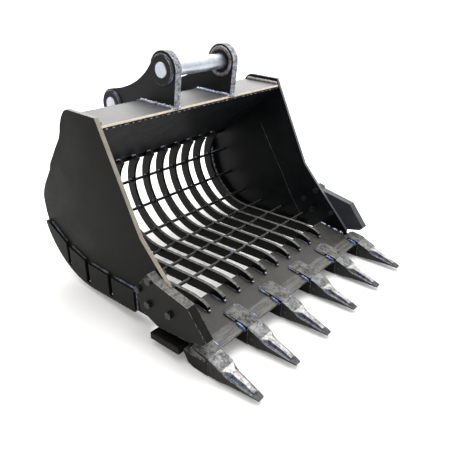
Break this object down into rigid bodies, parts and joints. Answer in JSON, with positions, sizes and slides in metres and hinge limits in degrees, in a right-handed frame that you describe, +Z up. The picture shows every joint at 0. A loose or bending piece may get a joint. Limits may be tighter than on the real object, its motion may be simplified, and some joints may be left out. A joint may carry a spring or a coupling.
{
  "type": "excavator skeleton bucket",
  "caption": "Skeleton digging bucket with a curved grid of ribs and cross bars, a toothed lip, side cutters and two pinned ears.",
  "frame": {"origin": "centre of the bounding box on the ground, with the bucket standing on its tooth tips and heel", "axes": "+Z up, teeth point to -Y, the pins lie along X"},
  "size_m": [1.32, 1.3368, 1.0166],
  "materials": {
    "black_paint": "satin black paint over hot rolled plate",
    "grid_paint": "satin black paint on flat and round bar",
    "lip_paint": "thin dark paint on the cutting edge",
    "cutter_paint": "slate grey paint",
    "cast_steel": "rough cast steel, thinly painted",
    "pin_steel": "bright turned steel",
    "bolt_steel": "blackened steel"
  },
  "bodies": {
    "bucket": {"side_plate_left": "black_paint", "side_plate_right": "black_paint", "top_plate": "black_paint", "inner_panel": "black_paint", "rear_plate": "black_paint", "lip_plate": "lip_paint", "rib_01": "grid_paint", "rib_02": "grid_paint", "rib_03": "grid_paint", "rib_04": "grid_paint", "rib_05": "grid_paint", "rib_06": "grid_paint", "rib_07": "grid_paint", "rib_08": "grid_paint", "rib_09": "grid_paint", "rib_10": "grid_paint", "cross_bar_1": "grid_paint", "cross_bar_2": "grid_paint", "cross_bar_3": "grid_paint", "cross_bar_4": "grid_paint", "cross_bar_5": "grid_paint", "cross_bar_6": "grid_paint", "side_rim_left": "black_paint", "side_rim_right": "black_paint", "ear_left": "black_paint", "ear_right": "black_paint", "adapter_1": "cast_steel", "adapter_2": "cast_steel", "adapter_3": "cast_steel", "adapter_4": "cast_steel", "adapter_5": "cast_steel", "adapter_6": "cast_steel", "side_cutter_left": "cutter_paint", "side_cutter_right": "cutter_paint", "cutter_bolt_left_1": "bolt_steel", "cutter_bolt_left_2": "bolt_steel", "cutter_bolt_left_3": "bolt_steel", "cutter_bolt_left_4": "bolt_steel", "cutter_bolt_right_1": "bolt_steel", "cutter_bolt_right_2": "bolt_steel", "cutter_bolt_right_3": "bolt_steel", "cutter_bolt_right_4": "bolt_steel", "wear_pads_left": "black_paint", "wear_pads_right": "black_paint", "corner_runner_left": "black_paint", "corner_runner_right": "black_paint"},
    "front_pin": {"front_pin": "pin_steel"},
    "rear_pin": {"rear_pin": "pin_steel"},
    "point_1": {"tooth_point_1": "cast_steel"},
    "lock_1": {"point_lock_1": "bolt_steel"},
    "point_2": {"tooth_point_2": "cast_steel"},
    "lock_2": {"point_lock_2": "bolt_steel"},
    "point_3": {"tooth_point_3": "cast_steel"},
    "lock_3": {"point_lock_3": "bolt_steel"},
    "point_4": {"tooth_point_4": "cast_steel"},
    "lock_4": {"point_lock_4": "bolt_steel"},
    "point_5": {"tooth_point_5": "cast_steel"},
    "lock_5": {"point_lock_5": "bolt_steel"},
    "point_6": {"tooth_point_6": "cast_steel"},
    "lock_6": {"point_lock_6": "bolt_steel"}
  },
  "joints": [
    {"name": "front_pin_draw", "type": "slide", "parent": "bucket", "child": "front_pin", "axis": [1, 0, 0], "range_m": [0, 0.42]},
    {"name": "rear_pin_draw", "type": "slide", "parent": "bucket", "child": "rear_pin", "axis": [1, 0, 0], "range_m": [0, 0.42]},
    {"name": "point_1_pull", "type": "slide", "parent": "bucket", "child": "point_1", "axis": [0, -0.9963, 0.0861], "range_m": [0, 0.12]},
    {"name": "lock_1_turn", "type": "hinge", "parent": "point_1", "child": "lock_1", "pos_m": [-0.63625, -0.46565, 0.04145], "axis": [1, 0, 0], "range_deg": [0, 90]},
    {"name": "point_2_pull", "type": "slide", "parent": "bucket", "child": "point_2", "axis": [0, -0.9963, 0.0861], "range_m": [0, 0.12]},
    {"name": "lock_2_turn", "type": "hinge", "parent": "point_2", "child": "lock_2", "pos_m": [-0.39755, -0.46565, 0.04145], "axis": [1, 0, 0], "range_deg": [0, 90]},
    {"name": "point_3_pull", "type": "slide", "parent": "bucket", "child": "point_3", "axis": [0, -0.9963, 0.0861], "range_m": [0, 0.12]},
    {"name": "lock_3_turn", "type": "hinge", "parent": "point_3", "child": "lock_3", "pos_m": [-0.15885, -0.46565, 0.04145], "axis": [1, 0, 0], "range_deg": [0, 90]},
    {"name": "point_4_pull", "type": "slide", "parent": "bucket", "child": "point_4", "axis": [0, -0.9963, 0.0861], "range_m": [0, 0.12]},
    {"name": "lock_4_turn", "type": "hinge", "parent": "point_4", "child": "lock_4", "pos_m": [0.07985, -0.46565, 0.04145], "axis": [1, 0, 0], "range_deg": [0, 90]},
    {"name": "point_5_pull", "type": "slide", "parent": "bucket", "child": "point_5", "axis": [0, -0.9963, 0.0861], "range_m": [0, 0.12]},
    {"name": "lock_5_turn", "type": "hinge", "parent": "point_5", "child": "lock_5", "pos_m": [0.31855, -0.46565, 0.04145], "axis": [1, 0, 0], "range_deg": [0, 90]},
    {"name": "point_6_pull", "type": "slide", "parent": "bucket", "child": "point_6", "axis": [0, -0.9963, 0.0861], "range_m": [0, 0.12]},
    {"name": "lock_6_turn", "type": "hinge", "parent": "point_6", "child": "lock_6", "pos_m": [0.55725, -0.46565, 0.04145], "axis": [1, 0, 0], "range_deg": [0, 90]}
  ]
}
